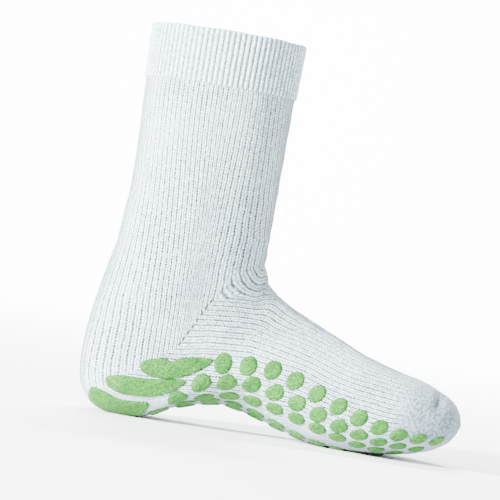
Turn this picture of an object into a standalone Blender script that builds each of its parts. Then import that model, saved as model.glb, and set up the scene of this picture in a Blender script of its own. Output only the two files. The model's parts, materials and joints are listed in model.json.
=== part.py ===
import math
from collections import namedtuple

import bpy
from mathutils import Vector
from mathutils.bvhtree import BVHTree

for old in list(bpy.data.objects):
    bpy.data.objects.remove(old, do_unlink=True)

mm = 0.001

# Worn sock, outside
footLength = 255 * mm
legHeight = 258 * mm
legDepth = 97 * mm
legWidth = 78 * mm
heelWidth = 75 * mm
waistWidth = 74 * mm
ballWidth = 98 * mm
bendHeight = 98 * mm
archRise = 15 * mm
toeSpring = 15 * mm
wall = 2.2 * mm

# Ribbed cuff
cuffHeight = 36 * mm
cuffStep = 0.8 * mm
cuffBevel = 1.2 * mm
crownOutShare = 0.3
crownInShare = 0.7

# Printed grips
printGap = 0.3 * mm
printDepth = 0.9 * mm
heelDotSize = 12.5 * mm
toeDotSize = 10.2 * mm

# Mesh fineness
ringPoints = 40
legRings = 8
heelRings = 3
footRings = 2
innerEvery = 3
lowCrowding = 0.35
dotCorners = 12
padSteps = 11
padLines = 8
fineSteps = 8
castSteps = 40
ringClearance = 0.12
sharpAngle = 50

floorHeight = printGap + printDepth
softFloor = 0.8 * mm

Leg = namedtuple("Leg", "height back depth width")
legRows = (
    Leg(1.00, 0.052, 1.04, 1.08),
    Leg(0.84, 0.054, 1.02, 1.04),
    Leg(0.68, 0.059, 1.00, 1.00),
    Leg(0.55, 0.057, 1.00, 0.98),
)

legLowPower = 2.1
legTopPower = 2.0
legSeat = 0.5

# Sections that fan round the ankle and along the foot, low end on heel and sole
Foot = namedtuple("Foot", "low lift share top height girth inner outer keel crest lowPower topPower seat")
lifts = {"heel": bendHeight, "arch": archRise, "toe": toeSpring}
girths = {"ankle": legWidth, "heel": heelWidth, "waist": waistWidth, "ball": ballWidth}
footRows = (
    Foot(0.047, "heel", 1.20, 0.435, 1.26, "ankle", 0.49, 0.49, 0.00, 0.00, 2.1, 2.0, 0.50),
    Foot(0.030, "heel", 0.94, 0.440, 1.14, "ankle", 0.48, 0.49, 0.00, 0.00, 2.2, 2.0, 0.50),
    Foot(0.014, "heel", 0.71, 0.449, 1.06, "ankle", 0.48, 0.49, 0.00, 0.00, 2.3, 2.0, 0.50),
    Foot(0.004, "heel", 0.50, 0.461, 1.00, "heel", 0.48, 0.50, 0.00, 0.00, 2.4, 2.0, 0.50),
    Foot(0.002, "heel", 0.32, 0.475, 0.965, "heel", 0.48, 0.50, 0.00, 0.00, 2.5, 2.0, 0.48),
    Foot(0.010, "heel", 0.17, 0.491, 0.935, "heel", 0.48, 0.50, 0.00, 0.00, 2.6, 2.0, 0.46),
    Foot(0.035, "heel", 0.065, 0.507, 0.91, "heel", 0.48, 0.50, 0.00, 0.00, 2.6, 2.0, 0.44),
    Foot(0.076, "heel", 0.006, 0.525, 0.885, "heel", 0.47, 0.50, 0.00, 0.00, 2.6, 2.0, 0.42),
    Foot(0.126, "heel", -0.018, 0.544, 0.86, "heel", 0.46, 0.50, 0.01, 0.00, 2.5, 2.0, 0.41),
    Foot(0.184, "arch", -0.06, 0.565, 0.835, "waist", 0.47, 0.51, 0.04, 0.00, 2.3, 1.95, 0.40),
    Foot(0.247, "arch", 0.45, 0.588, 0.81, "waist", 0.47, 0.52, 0.09, -0.01, 2.1, 1.9, 0.41),
    Foot(0.314, "arch", 0.80, 0.613, 0.78, "waist", 0.47, 0.54, 0.14, -0.02, 1.95, 1.9, 0.42),
    Foot(0.384, "arch", 0.96, 0.640, 0.75, "waist", 0.48, 0.56, 0.17, -0.04, 1.9, 1.9, 0.42),
    Foot(0.459, "arch", 0.70, 0.671, 0.715, "waist", 0.51, 0.59, 0.16, -0.06, 1.9, 1.9, 0.42),
    Foot(0.537, "arch", 0.34, 0.706, 0.675, "ball", 0.42, 0.46, 0.07, -0.08, 1.95, 1.9, 0.41),
    Foot(0.616, "arch", 0.00, 0.745, 0.635, "ball", 0.46, 0.485, 0.03, -0.09, 1.95, 1.95, 0.40),
    Foot(0.694, "toe", -0.12, 0.788, 0.60, "ball", 0.49, 0.50, 0.00, -0.10, 1.95, 2.0, 0.40),
    Foot(0.769, "toe", -0.11, 0.831, 0.57, "ball", 0.50, 0.49, 0.00, -0.11, 1.95, 2.05, 0.40),
    Foot(0.835, "toe", 0.06, 0.875, 0.545, "ball", 0.49, 0.44, -0.02, -0.12, 1.95, 2.1, 0.42),
    Foot(0.890, "toe", 0.27, 0.914, 0.515, "ball", 0.47, 0.36, -0.05, -0.12, 2.0, 2.15, 0.44),
    Foot(0.935, "toe", 0.57, 0.949, 0.475, "ball", 0.43, 0.25, -0.09, -0.12, 2.1, 2.2, 0.46),
    Foot(0.968, "toe", 0.95, 0.976, 0.42, "ball", 0.36, 0.10, -0.13, -0.13, 2.2, 2.2, 0.48),
    Foot(0.987, "toe", 1.35, 0.991, 0.36, "ball", 0.27, -0.01, -0.14, -0.13, 2.1, 2.1, 0.50),
)
heelRows = 11
tipAlong = 0.998
tipHeight = 0.285
tipAside = -0.13

# Rows of dots: where the first one lies, and heights of every second one up the side
DotRow = namedtuple("DotRow", "start first second third fourth fifth sixth")
dotRows = {
    "top": DotRow(0.369, 0.456, 0.463, 0.354, 0.242, 0.172, 0.173),
    "side": DotRow(0.322, 0.299, 0.344, 0.278, 0.181, 0.116, 0.102),
    "low": DotRow(0.270, 0.170, 0.243, 0.208, 0.130, 0.066, 0.050),
}
innerStart = 0.224
middleStart = 0.226
dotCount = 11
firstFloorDot = 8
dotReach = 0.567
dotCrowding = 0.15

# Heel pads as leaves: heights of both edges, or how far aside the lower edge lies under the sole
Stop = namedtuple("Stop", "along edge low high")
pads = {
    "upper": (
        Stop(0.165, "height", 0.345, 0.368),
        Stop(0.195, "height", 0.308, 0.408),
        Stop(0.250, "height", 0.311, 0.440),
        Stop(0.300, "height", 0.370, 0.466),
        Stop(0.342, "height", 0.448, 0.478),
    ),
    "middle": (
        Stop(0.078, "height", 0.200, 0.245),
        Stop(0.115, "height", 0.152, 0.272),
        Stop(0.180, "height", 0.150, 0.277),
        Stop(0.235, "height", 0.190, 0.295),
        Stop(0.283, "height", 0.280, 0.308),
    ),
    "lower": (
        Stop(0.040, "aside", 0.130, 0.165),
        Stop(0.075, "aside", 0.070, 0.152),
        Stop(0.120, "aside", 0.060, 0.114),
        Stop(0.165, "aside", 0.130, 0.114),
        Stop(0.199, "aside", 0.340, 0.124),
    ),
}
coreHeight = 30 * mm
bulgeShare = 1.4

sockColour = (0.80, 0.86, 0.90, 1)
printColour = (0.25, 0.55, 0.22, 1)


def mix(a, b, share):
    return a + (b - a) * share


def settle(height):
    above = height - floorHeight
    if above <= -softFloor:
        return floorHeight
    if above >= softFloor:
        return height
    return floorHeight + (above + softFloor) ** 2 / (4 * softFloor)


def legSection(row):
    back = row.back * footLength
    height = row.height * legHeight
    half = row.width * legWidth / 2
    ends = [back, height, back + row.depth * legDepth, height]
    return ends + [half, half, 0.0, 0.0, legLowPower, legTopPower, legSeat]


def footSection(row):
    low = row.low * footLength
    sole = floorHeight + row.share * lifts[row.lift]
    top = row.top * footLength
    girth = girths[row.girth]
    shape = [row.lowPower, row.topPower, row.seat]
    sides = [row.inner * girth, row.outer * girth, row.keel * girth, row.crest * girth]
    return [low, sole, top, row.height * bendHeight] + sides + shape


sections = [legSection(row) for row in legRows] + [footSection(row) for row in footRows]


def sectionAt(place):
    place = min(max(place, 0.0), len(sections) - 1.0)
    first = min(int(place), len(sections) - 2)
    share = place - first
    before = sections[max(first - 1, 0)]
    start = sections[first]
    end = sections[first + 1]
    after = sections[min(first + 2, len(sections) - 1)]
    values = []
    for a, b, c, d in zip(before, start, end, after):
        slopeIn = (c - a) / 2
        slopeOut = (d - b) / 2
        square = share * share
        cube = square * share
        value = (2 * cube - 3 * square + 1) * b + (cube - 2 * square + share) * slopeIn
        value += (3 * square - 2 * cube) * c + (cube - square) * slopeOut
        values.append(value)
    return values


def halfRing(values, side, count):
    lowX, lowZ, topX, topZ, inner, outer, keel, crest, lowPower, topPower, seat = values
    edge = -inner if side < 0 else outer
    fine = fineSteps * count
    points = []
    for step in range(fine + 1):
        angle = math.pi * step / fine
        power = lowPower if angle < math.pi / 2 else topPower
        across = abs(math.sin(angle)) ** (2 / power)
        up = abs(math.cos(angle)) ** (2 / power)
        if angle < math.pi / 2:
            share = seat * (1 - up)
            aside = mix(keel, edge, across)
        else:
            share = seat + (1 - seat) * up
            aside = mix(crest, edge, across)
        points.append(Vector((mix(lowX, topX, share), aside, settle(mix(lowZ, topZ, share)))))
    return evenly(points, count)


def evenly(points, count):
    lengths = [0.0]
    for a, b in zip(points, points[1:]):
        lengths.append(lengths[-1] + (b - a).length)
    spread = []
    at = 0
    for step in range(count + 1):
        share = step / count
        goal = lengths[-1] * (share - lowCrowding * math.sin(math.pi * share) / math.pi)
        while at < len(lengths) - 2 and lengths[at + 1] < goal:
            at += 1
        span = max(lengths[at + 1] - lengths[at], 1e-12)
        spread.append(points[at].lerp(points[at + 1], min((goal - lengths[at]) / span, 1.0)))
    return spread


def ring(place, count):
    values = sectionAt(place)
    near = halfRing(values, -1, count // 2)
    far = halfRing(values, 1, count // 2)
    return near + far[-2:0:-1]


def smoothNormals(grid, tip):
    normals = []
    last = len(grid) - 1
    for i, row in enumerate(grid):
        before = grid[max(i - 1, 0)]
        after = grid[i + 1] if i < last else None
        line = []
        for j in range(len(row)):
            ahead = after[j] if after else tip
            along = ahead - before[j]
            around = row[(j + 1) % len(row)] - row[j - 1]
            line.append(along.cross(around).normalized())
        normals.append(line)
    return normals


def material(name, colour, roughness):
    made = bpy.data.materials.new(name)
    made.use_nodes = True
    shader = made.node_tree.nodes["Principled BSDF"]
    shader.inputs["Base Color"].default_value = colour
    shader.inputs["Roughness"].default_value = roughness
    shader.inputs["Metallic"].default_value = 0.0
    return made


def solid(name, points, faces, coat):
    mesh = bpy.data.meshes.new(name)
    mesh.from_pydata([tuple(point) for point in points], [], faces)
    mesh.materials.append(coat)
    mesh.update()
    made = bpy.data.objects.new(name, mesh)
    bpy.context.scene.collection.objects.link(made)
    mesh.shade_smooth()
    mesh.set_sharp_from_angle(angle=math.radians(sharpAngle))
    return made


def tipPoint():
    return Vector((tipAlong * footLength, tipAside * ballWidth, tipHeight * bendHeight))


def legPlaces():
    # Ring places down the leg, with close pairs where the cuff steps in
    ends = len(legRows) - 1
    even = [ends * step / legRings for step in range(legRings)]
    foot = placeOfHeight(legHeight - cuffHeight)
    step = placeOfHeight(legHeight - cuffHeight - cuffStep)
    clear = [place for place in even if abs(place - foot) > ringClearance]
    return sorted(clear + [foot, step])


def placeOfHeight(height):
    low = 0.0
    high = len(legRows) - 1.0
    for step in range(castSteps):
        middle = (low + high) / 2
        if sectionAt(middle)[1] > height:
            low = middle
        else:
            high = middle
    return (low + high) / 2


def skin():
    places = legPlaces()
    for row in range(len(legRows) - 1, len(sections) - 1):
        rings = footRings if row > len(legRows) + heelRows else heelRings
        places += [row + step / rings for step in range(rings)]
    places.append(len(sections) - 1)
    return [ring(place, ringPoints) for place in places]


def bodyOutside():
    grid = skin()
    tip = tipPoint()
    for point in grid[0]:
        point.z -= cuffBevel
    normals = smoothNormals(grid, tip)
    cuffFoot = legHeight - cuffHeight - cuffStep / 2
    outside = []
    for row, line in zip(grid, normals):
        step = cuffStep if row[0].z > cuffFoot else 0.0
        outside.append([point + normal * step for point, normal in zip(row, line)])
    return grid, outside, normals, tip


def quads(first, second):
    count = len(first)
    faces = []
    for j in range(count):
        k = (j + 1) % count
        faces.append((first[j], second[j], second[k], first[k]))
    return faces


def fan(row, middle):
    count = len(row)
    return [(row[j], middle, row[(j + 1) % count]) for j in range(count)]


def makeBody(grid, outside, normals, tip, coat):
    points = []

    def keep(row):
        start = len(points)
        points.extend(row)
        return list(range(start, start + len(row)))

    up = Vector((0, 0, cuffBevel))
    thick = wall + cuffStep
    outer = [keep(row) for row in outside]
    crownOut = keep([p - n * thick * crownOutShare + up for p, n in zip(outside[0], normals[0])])
    crownIn = keep([p - n * thick * crownInShare + up for p, n in zip(outside[0], normals[0])])
    rows = list(range(0, len(grid), innerEvery))
    if rows[-1] != len(grid) - 1:
        rows.append(len(grid) - 1)
    inner = [keep([p - n * wall for p, n in zip(grid[i], normals[i])]) for i in rows]
    outerTip = keep([tip])[0]
    innerTip = keep([tip - Vector((wall, 0, 0))])[0]
    faces = []
    for first, second in zip(outer, outer[1:]):
        faces += quads(first, second)
    faces += fan(outer[-1], outerTip)
    faces += quads(crownOut, outer[0])
    faces += quads(crownIn, crownOut)
    faces += quads(inner[0], crownIn)
    for first, second in zip(inner, inner[1:]):
        faces += quads(second, first)
    faces += [face[::-1] for face in fan(inner[-1], innerTip)]
    return solid("sock_body", points, faces, coat)


def skinTree(outside, tip):
    points = [point for row in outside for point in row] + [tip]
    count = len(outside[0])
    rows = [list(range(i * count, (i + 1) * count)) for i in range(len(outside))]
    faces = []
    for first, second in zip(rows, rows[1:]):
        faces += quads(first, second)
    faces += fan(rows[-1], len(points) - 1)
    return BVHTree.FromPolygons(points, faces)


def core(along):
    return Vector((along, 0, coreHeight))


def castTurn(tree, along, turn, side):
    # Turn 0 points straight down from the core line and a half turn straight up
    way = Vector((0, side * math.sin(turn), -math.cos(turn)))
    return tree.ray_cast(core(along), way)[0]


def turnOf(point):
    return math.atan2(abs(point.y), coreHeight - point.z)


def halfGirthTurn(tree, along, turn, side):
    # The turn that lies half way from the middle of the sole, measured over the skin
    spots = [castTurn(tree, along, turn * step / castSteps, side) for step in range(castSteps + 1)]
    lengths = [0.0]
    for a, b in zip(spots, spots[1:]):
        lengths.append(lengths[-1] + (b - a).length)
    at = 0
    while lengths[at + 1] < lengths[-1] / 2:
        at += 1
    share = (lengths[-1] / 2 - lengths[at]) / (lengths[at + 1] - lengths[at])
    return turn * (at + share) / castSteps


def makeDot(name, tree, along, turn, side, size, coat):
    middle = castTurn(tree, along, turn, side)
    normal = tree.find_nearest(middle)[1]
    for again in range(2):
        across = Vector((1, 0, 0)).cross(normal).normalized()
        forward = normal.cross(across).normalized()
        rim = []
        total = Vector((0, 0, 0))
        for corner in range(dotCorners):
            angle = 2 * math.pi * corner / dotCorners
            reach = (forward * math.cos(angle) + across * math.sin(angle)) * size / 2
            spot, facing = tree.ray_cast(middle + reach + normal * size, -normal)[:2]
            rim.append(spot)
            total += facing
        normal = total.normalized()
    disc = rim + [middle]
    rise = printGap + lift(tree, rim, middle, normal)
    low = [point + normal * rise for point in disc]
    high = [point + normal * (rise + printDepth) for point in disc]
    count = len(disc)
    faces = []
    for a in range(dotCorners):
        b = (a + 1) % dotCorners
        faces.append((a, dotCorners, b))
        faces.append((count + b, count + dotCorners, count + a))
        faces.append((a, b, count + b, count + a))
    if normal.dot(across.cross(forward)) > 0:
        faces = [face[::-1] for face in faces]
    return solid(name, low + high, faces, coat)


def lift(tree, rim, middle, normal):
    # How far the skin bulges between the disc's points, kept clear of the floor
    bulge = 0.0
    for a, b in zip(rim, rim[1:] + rim[:1]):
        for chord in ((a + middle) / 2, (a + b) / 2, (a + b + middle) / 3):
            spot = tree.ray_cast(chord + normal * heelDotSize, -normal)[0]
            bulge = max(bulge, (spot - chord).dot(normal))
    lowest = min(point.z + normal.z * floorHeight for point in rim + [middle])
    return min(bulge, max(lowest, 0.0))


def smooth(values, share):
    # A smooth curve through evenly spaced values, at a share of its length
    place = share * (len(values) - 1)
    first = min(int(place), len(values) - 2)
    part = place - first
    a = values[max(first - 1, 0)]
    b = values[first]
    c = values[first + 1]
    d = values[min(first + 2, len(values) - 1)]
    bend = 2 * a - 5 * b + 4 * c - d
    twist = 3 * b - a - 3 * c + d
    return 0.5 * (2 * b + (c - a) * part + bend * part ** 2 + twist * part ** 3)


def sideTurn(tree, along, height, side):
    beside = Vector((along, side * ballWidth, height))
    spot = tree.ray_cast(beside, Vector((0, -side, 0)))[0]
    return turnOf(spot)


def underTurn(tree, along, aside, side):
    spot = tree.ray_cast(Vector((along, side * aside, -ballWidth)), Vector((0, 0, 1)))[0]
    return turnOf(spot)


def makePad(name, tree, stops, side, coat):
    grid = []
    for step in range(padSteps):
        share = (1 - math.cos(math.pi * step / (padSteps - 1))) / 2
        along = smooth([stop.along for stop in stops], share) * footLength
        low = smooth([stop.low for stop in stops], share)
        high = smooth([stop.high for stop in stops], share)
        highTurn = sideTurn(tree, along, high * bendHeight, side)
        if stops[0].edge == "height":
            lowTurn = sideTurn(tree, along, low * bendHeight, side)
        else:
            lowTurn = underTurn(tree, along, low * heelWidth, side)
        line = []
        for part in range(padLines):
            turn = mix(lowTurn, highTurn, part / (padLines - 1))
            line.append(castTurn(tree, along, turn, side))
        grid.append(line)
    return sheetSolid(name, tree, grid, side, coat)


def gridNormals(grid, side):
    rows = len(grid)
    columns = len(grid[0])
    normals = []
    for i in range(rows):
        line = []
        for j in range(columns):
            along = grid[min(i + 1, rows - 1)][j] - grid[max(i - 1, 0)][j]
            around = grid[i][min(j + 1, columns - 1)] - grid[i][max(j - 1, 0)]
            line.append(along.cross(around).normalized() * -side)
        normals.append(line)
    return normals


def bulges(tree, grid, normals):
    # How far the skin stands above the flat cells beside each grid point
    rows = len(grid)
    columns = len(grid[0])
    most = [[0.0] * columns for line in grid]
    for i in range(rows - 1):
        for j in range(columns - 1):
            cell = [(i, j), (i + 1, j), (i + 1, j + 1), (i, j + 1)]
            points = [grid[a][b] for a, b in cell]
            normal = normals[i][j]
            chords = [(a + b) / 2 for a, b in zip(points, points[1:] + points[:1])]
            chords += [(points[0] + points[2]) / 2, (points[1] + points[3]) / 2]
            bulge = 0.0
            for chord in chords:
                spot = tree.ray_cast(chord + normal * heelDotSize, -normal)[0]
                bulge = max(bulge, (spot - chord).dot(normal))
            for a, b in cell:
                most[a][b] = max(most[a][b], bulge)
    return most


def sheetSolid(name, tree, grid, side, coat):
    rows = len(grid)
    columns = len(grid[0])
    normals = gridNormals(grid, side)
    most = bulges(tree, grid, normals)
    low = []
    high = []
    for i in range(rows):
        for j in range(columns):
            rise = printGap + bulgeShare * most[i][j]
            under = grid[i][j] + normals[i][j] * rise
            over = grid[i][j] + normals[i][j] * (rise + printDepth)
            under.z = max(under.z, printDepth)
            over.z = max(over.z, 0.0)
            low.append(under)
            high.append(over)
    top = len(low)
    faces = []
    for i in range(rows - 1):
        for j in range(columns - 1):
            a = i * columns + j
            b = a + columns
            faces.append((a, b, b + 1, a + 1))
            faces.append((top + a, top + a + 1, top + b + 1, top + b))
    edge = [i * columns for i in range(rows)]
    edge += [(rows - 1) * columns + j for j in range(1, columns)]
    edge += [i * columns + columns - 1 for i in range(rows - 2, -1, -1)]
    edge += list(range(columns - 2, 0, -1))
    for a, b in zip(edge, edge[1:] + edge[:1]):
        faces.append((b, a, top + a, top + b))
    if side < 0:
        faces = [face[::-1] for face in faces]
    return solid(name, low + high, faces, coat)


def rowTurn(tree, name, along, share, side):
    row = dotRows.get(name, dotRows["low"])
    turn = sideTurn(tree, along, smooth(row[1:], share) * bendHeight, side)
    return turn if name in dotRows else halfGirthTurn(tree, along, turn, side)


def makeRow(tree, name, start, side, coat):
    # Rows that show from the inner side are whole, the others only have the dots that carry the ball
    place = "near" if side < 0 else "far"
    shows = side < 0 and name in dotRows
    onFloor = name not in dotRows
    for index in range(dotCount):
        number = index + 1
        if not shows and not (onFloor and number >= firstFloorDot):
            continue
        share = index / (dotCount - 1)
        crowd = share + dotCrowding * share * (1 - share)
        along = (start + dotReach * crowd) * footLength
        turn = 0.0 if name == "middle" else rowTurn(tree, name, along, share, side)
        size = mix(heelDotSize, toeDotSize, share)
        makeDot(f"dot_{place}_{name}_{number}", tree, along, turn, side, size, coat)


def makeDots(tree, coat):
    makeRow(tree, "middle", middleStart, -1, coat)
    for side in (-1, 1):
        makeRow(tree, "inner", innerStart, side, coat)
        for name, row in dotRows.items():
            makeRow(tree, name, row.start, side, coat)


def centre():
    # Puts the middle of the whole box over the origin, with the floor at nought
    made = [item for item in bpy.data.objects if item.type == "MESH"]
    corners = [vertex.co for item in made for vertex in item.data.vertices]
    low = [min(point[axis] for point in corners) for axis in range(2)]
    high = [max(point[axis] for point in corners) for axis in range(2)]
    shift = Vector((-(low[0] + high[0]) / 2, -(low[1] + high[1]) / 2, 0))
    for item in made:
        for vertex in item.data.vertices:
            vertex.co += shift
        item.data.update()


sockCoat = material("knit", sockColour, 0.9)
printCoat = material("print", printColour, 0.6)
grid, outside, normals, tip = bodyOutside()
makeBody(grid, outside, normals, tip, sockCoat)
tree = skinTree(outside, tip)
for name, stops in pads.items():
    makePad(f"heel_pad_near_{name}", tree, stops, -1, printCoat)
    makePad(f"heel_pad_far_{name}", tree, stops, 1, printCoat)
makeDots(tree, printCoat)
centre()
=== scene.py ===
import json
import math

import bpy
import numpy as np
from mathutils import Matrix, Vector
from mathutils.bvhtree import BVHTree

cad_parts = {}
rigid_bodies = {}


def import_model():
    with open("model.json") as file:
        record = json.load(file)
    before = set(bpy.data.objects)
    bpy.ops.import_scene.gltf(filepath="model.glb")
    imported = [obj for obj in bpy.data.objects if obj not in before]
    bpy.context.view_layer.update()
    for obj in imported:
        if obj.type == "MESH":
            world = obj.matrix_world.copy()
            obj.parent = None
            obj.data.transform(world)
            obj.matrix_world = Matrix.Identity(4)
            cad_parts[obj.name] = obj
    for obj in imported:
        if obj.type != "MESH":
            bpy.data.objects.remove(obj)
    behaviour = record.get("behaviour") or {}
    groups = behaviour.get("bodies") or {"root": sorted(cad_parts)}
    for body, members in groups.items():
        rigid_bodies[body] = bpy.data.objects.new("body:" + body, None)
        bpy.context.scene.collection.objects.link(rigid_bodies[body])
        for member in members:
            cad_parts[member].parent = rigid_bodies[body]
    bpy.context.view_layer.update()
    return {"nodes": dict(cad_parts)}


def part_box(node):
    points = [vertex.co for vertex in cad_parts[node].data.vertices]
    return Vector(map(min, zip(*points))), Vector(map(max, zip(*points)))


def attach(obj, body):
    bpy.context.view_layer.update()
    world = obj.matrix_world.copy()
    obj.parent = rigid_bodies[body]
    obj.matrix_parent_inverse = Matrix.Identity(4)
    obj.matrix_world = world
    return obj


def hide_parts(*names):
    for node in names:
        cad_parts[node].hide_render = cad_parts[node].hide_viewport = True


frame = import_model()
scene = bpy.context.scene
mm = 0.001
print("frame loaded")


# The sock's own shape: rings from the cuff, round the ankle bend and along the foot to the toe

sock = {
    "footLength": 255 * mm,
    "legHeight": 258 * mm,
    "legDepth": 97 * mm,
    "bendHeight": 98 * mm,
    "archRise": 15 * mm,
    "toeSpring": 15 * mm,
    "legWidth": 78 * mm,
    "heelWidth": 75 * mm,
    "waistWidth": 74 * mm,
    "ballWidth": 98 * mm,
    "wall": 2.2 * mm,
    "soleHeight": 1.2 * mm,      # the dots stand out this far below the knit
    "soleSoftness": 0.8 * mm,
    "tip": (0.998, -0.13, 0.285),  # shares of foot length, ball width and bend height
    "ringStep": 1.45 * mm,
    "pointsAround": 184,
    "plush": 0.22 * mm,          # how uneven the terry makes the outline
    "bodyTop": 224 * mm,         # the body ends under the cuff
    "innerEvery": 4,
}

# height, back, depth, width: shares of leg height, foot length, leg depth and leg width
legRows = (
    (1.00, 0.052, 1.04, 1.08),
    (0.84, 0.054, 1.02, 1.04),
    (0.68, 0.059, 1.00, 1.00),
    (0.55, 0.057, 1.00, 0.98),
)

# low end, its lift, crest end, its height, girth, inner, outer, keel, crest, low and top power, seat
footRows = (
    (0.047, "heel", 1.20, 0.435, 1.26, "ankle", 0.49, 0.49, 0.00, 0.00, 2.1, 2.0, 0.50),
    (0.030, "heel", 0.94, 0.440, 1.14, "ankle", 0.48, 0.49, 0.00, 0.00, 2.2, 2.0, 0.50),
    (0.014, "heel", 0.71, 0.449, 1.06, "ankle", 0.48, 0.49, 0.00, 0.00, 2.3, 2.0, 0.50),
    (0.004, "heel", 0.50, 0.461, 1.00, "heel", 0.48, 0.50, 0.00, 0.00, 2.4, 2.0, 0.50),
    (0.002, "heel", 0.32, 0.475, 0.965, "heel", 0.48, 0.50, 0.00, 0.00, 2.5, 2.0, 0.48),
    (0.010, "heel", 0.17, 0.491, 0.935, "heel", 0.48, 0.50, 0.00, 0.00, 2.6, 2.0, 0.46),
    (0.035, "heel", 0.065, 0.507, 0.91, "heel", 0.48, 0.50, 0.00, 0.00, 2.6, 2.0, 0.44),
    (0.076, "heel", 0.006, 0.525, 0.885, "heel", 0.47, 0.50, 0.00, 0.00, 2.6, 2.0, 0.42),
    (0.126, "heel", -0.018, 0.544, 0.86, "heel", 0.46, 0.50, 0.01, 0.00, 2.5, 2.0, 0.41),
    (0.184, "arch", -0.06, 0.565, 0.835, "waist", 0.47, 0.51, 0.04, 0.00, 2.3, 1.95, 0.40),
    (0.247, "arch", 0.45, 0.588, 0.81, "waist", 0.47, 0.52, 0.09, -0.01, 2.1, 1.9, 0.41),
    (0.314, "arch", 0.80, 0.613, 0.78, "waist", 0.47, 0.54, 0.14, -0.02, 1.95, 1.9, 0.42),
    (0.384, "arch", 0.96, 0.640, 0.75, "waist", 0.48, 0.56, 0.17, -0.04, 1.9, 1.9, 0.42),
    (0.459, "arch", 0.70, 0.671, 0.715, "waist", 0.51, 0.59, 0.16, -0.06, 1.9, 1.9, 0.42),
    (0.537, "arch", 0.34, 0.706, 0.675, "ball", 0.42, 0.46, 0.07, -0.08, 1.95, 1.9, 0.41),
    (0.616, "arch", 0.00, 0.745, 0.635, "ball", 0.46, 0.485, 0.03, -0.09, 1.95, 1.95, 0.40),
    (0.694, "toe", -0.12, 0.788, 0.60, "ball", 0.49, 0.50, 0.00, -0.10, 1.95, 2.0, 0.40),
    (0.769, "toe", -0.11, 0.831, 0.57, "ball", 0.50, 0.49, 0.00, -0.11, 1.95, 2.05, 0.40),
    (0.835, "toe", 0.06, 0.875, 0.545, "ball", 0.49, 0.44, -0.02, -0.12, 1.95, 2.1, 0.42),
    (0.890, "toe", 0.27, 0.914, 0.515, "ball", 0.47, 0.36, -0.05, -0.12, 2.0, 2.15, 0.44),
    (0.935, "toe", 0.57, 0.949, 0.475, "ball", 0.43, 0.25, -0.09, -0.12, 2.1, 2.2, 0.46),
    (0.968, "toe", 0.95, 0.976, 0.42, "ball", 0.36, 0.10, -0.13, -0.13, 2.2, 2.2, 0.48),
    (0.987, "toe", 1.35, 0.991, 0.36, "ball", 0.27, -0.01, -0.14, -0.13, 2.1, 2.1, 0.50),
)


def legShape(height, back, depth, width):
    low = back * sock["footLength"]
    level = height * sock["legHeight"]
    half = width * sock["legWidth"] / 2
    return [low, level, low + depth * sock["legDepth"], level, half, half, 0, 0, 2.1, 2.0, 0.5]


def footShape(low, lift, share, top, height, girth, inner, outer, keel, crest, *powers):
    lifts = {"heel": "bendHeight", "arch": "archRise", "toe": "toeSpring"}
    girths = {"ankle": "legWidth", "heel": "heelWidth", "waist": "waistWidth", "ball": "ballWidth"}
    sole = sock["soleHeight"] + share * sock[lifts[lift]]
    wide = sock[girths[girth]]
    ends = [low * sock["footLength"], sole, top * sock["footLength"], height * sock["bendHeight"]]
    return ends + [inner * wide, outer * wide, keel * wide, crest * wide] + list(powers)


shapeTable = np.array([legShape(*row) for row in legRows] + [footShape(*row) for row in footRows])
lastPlace = len(shapeTable) - 1


def smoothRows(places):
    # A smooth curve through the tabled rows
    places = np.clip(places, 0, lastPlace)
    first = np.minimum(places.astype(int), lastPlace - 1)
    t = (places - first)[:, None]
    before, start = shapeTable[np.maximum(first - 1, 0)], shapeTable[first]
    end, after = shapeTable[first + 1], shapeTable[np.minimum(first + 2, lastPlace)]
    bend = (2 * t ** 3 - 3 * t ** 2 + 1) * start + (3 * t ** 2 - 2 * t ** 3) * end
    leaving, arriving = (end - before) / 2, (after - start) / 2
    return bend + (t ** 3 - 2 * t ** 2 + t) * leaving + (t ** 3 - t ** 2) * arriving


def settleOnFloor(height):
    soft = sock["soleSoftness"]
    above = height - sock["soleHeight"]
    rounded = (above + soft) ** 2 / (4 * soft)
    return sock["soleHeight"] + np.where(above <= -soft, 0, np.where(above >= soft, above, rounded))


def halfRings(places, side, count):
    rows = smoothRows(places)
    lowX, lowZ, topX, topZ, inner, outer, keel, crest, lowPower, topPower, seat = rows.T[:, :, None]
    angle = np.linspace(0, math.pi, 8 * count + 1)[None, :]
    lower = angle < math.pi / 2
    power = np.where(lower, lowPower, topPower)
    across = np.abs(np.sin(angle)) ** (2 / power)
    up = np.abs(np.cos(angle)) ** (2 / power)
    share = np.where(lower, seat * (1 - up), seat + (1 - seat) * up)
    edge = -inner if side < 0 else outer
    middle = np.where(lower, keel, crest)
    points = np.stack([lowX + (topX - lowX) * share, middle + (edge - middle) * across,
                       settleOnFloor(lowZ + (topZ - lowZ) * share)], axis=2)
    lengths = np.cumsum(np.linalg.norm(np.diff(points, axis=1), axis=2), axis=1)
    lengths = np.concatenate([np.zeros((len(places), 1)), lengths], axis=1)
    even = np.linspace(0, 1, count + 1)
    rings = np.empty((len(places), count + 1, 3))
    for i in range(len(places)):
        for axis in range(3):
            rings[i, :, axis] = np.interp(even * lengths[i, -1], lengths[i], points[i, :, axis])
    return rings


def fullRings(places, around):
    # Each ring starts at the middle of the back or sole, climbs the inner side and comes down the outer
    near = halfRings(places, -1, around // 2)
    far = halfRings(places, 1, around // 2)
    return np.concatenate([near, far[:, -2:0:-1]], axis=1)


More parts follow.
